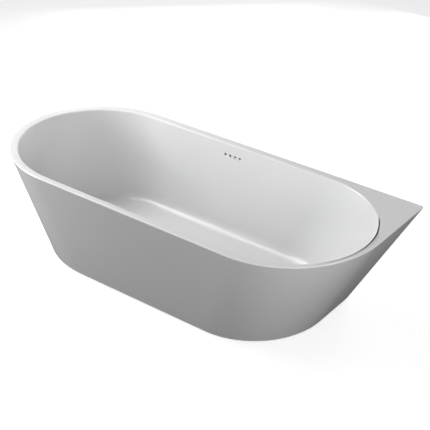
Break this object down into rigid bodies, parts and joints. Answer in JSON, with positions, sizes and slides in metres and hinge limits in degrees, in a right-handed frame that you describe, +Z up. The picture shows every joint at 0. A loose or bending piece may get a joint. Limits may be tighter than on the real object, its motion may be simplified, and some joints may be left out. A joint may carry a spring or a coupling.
{
  "type": "freestanding bathtub",
  "caption": "Back-to-wall freestanding bath: rounded left end, square right rear corner, tapered skirt, levelling feet, pop-up waste and overflow.",
  "frame": {"origin": "on the floor under the middle of the rim's box", "axes": "+X along the length towards the square-cornered end, +Y towards the wall, +Z up"},
  "size_m": [1.7999, 0.75, 0.58],
  "materials": {
    "acrylic": "gloss white sanitary acrylic",
    "board": "resin-bonded chipboard",
    "frame_steel": "hot-dip galvanised",
    "zinc_steel": "zinc plated",
    "spring_steel": "stainless spring wire",
    "seal_rubber": "black rubber",
    "chrome_trim": "polished chrome",
    "waste_plastic": "white polypropylene",
    "hose_plastic": "grey flexible PVC",
    "black_plastic": "black nylon"
  },
  "bodies": {
    "bath": {"bath_shell": "acrylic", "outer_skirt": "acrylic", "base_board": "board", "rail_front": "frame_steel", "rail_rear": "frame_steel", "cross_bar_left": "frame_steel", "cross_bar_middle": "frame_steel", "cross_bar_right": "frame_steel", "rail_screws": "zinc_steel", "bracket_screws": "zinc_steel", "threaded_inserts": "zinc_steel", "lock_nuts": "zinc_steel", "skirt_brackets": "zinc_steel", "waste_seal_upper": "seal_rubber", "waste_seal_lower": "seal_rubber", "overflow_seal": "seal_rubber", "waste_flange": "chrome_trim", "plug_spring": "spring_steel", "waste_body": "waste_plastic", "trap_body": "waste_plastic", "trap_union_nut": "waste_plastic", "outlet_nut": "waste_plastic", "cleaning_cap_ring": "waste_plastic", "cleaning_cap": "waste_plastic", "outlet_pipe": "waste_plastic", "overflow_housing": "black_plastic", "overflow_hose": "hose_plastic", "hose_nut_upper": "waste_plastic", "hose_nut_lower": "waste_plastic"},
    "plug": {"waste_plug": "chrome_trim", "plug_seal": "seal_rubber"},
    "foot_1": {"foot_stud_1": "zinc_steel", "foot_pad_1": "black_plastic"},
    "foot_2": {"foot_stud_2": "zinc_steel", "foot_pad_2": "black_plastic"},
    "foot_3": {"foot_stud_3": "zinc_steel", "foot_pad_3": "black_plastic"},
    "foot_4": {"foot_stud_4": "zinc_steel", "foot_pad_4": "black_plastic"},
    "foot_5": {"foot_stud_5": "zinc_steel", "foot_pad_5": "black_plastic"},
    "foot_6": {"foot_stud_6": "zinc_steel", "foot_pad_6": "black_plastic"}
  },
  "joints": [
    {"name": "foot_1_height", "type": "slide", "parent": "bath", "child": "foot_1", "axis": [0, 0, 1], "range_m": [-0.015, 0.01]},
    {"name": "foot_2_height", "type": "slide", "parent": "bath", "child": "foot_2", "axis": [0, 0, 1], "range_m": [-0.015, 0.01]},
    {"name": "foot_3_height", "type": "slide", "parent": "bath", "child": "foot_3", "axis": [0, 0, 1], "range_m": [-0.015, 0.01]},
    {"name": "foot_4_height", "type": "slide", "parent": "bath", "child": "foot_4", "axis": [0, 0, 1], "range_m": [-0.015, 0.01]},
    {"name": "foot_5_height", "type": "slide", "parent": "bath", "child": "foot_5", "axis": [0, 0, 1], "range_m": [-0.015, 0.01]},
    {"name": "foot_6_height", "type": "slide", "parent": "bath", "child": "foot_6", "axis": [0, 0, 1], "range_m": [-0.015, 0.01]},
    {"name": "plug_lift", "type": "slide", "parent": "bath", "child": "plug", "axis": [0, 0, 1], "range_m": [0, 0.008], "deforming": ["plug_spring"]}
  ]
}
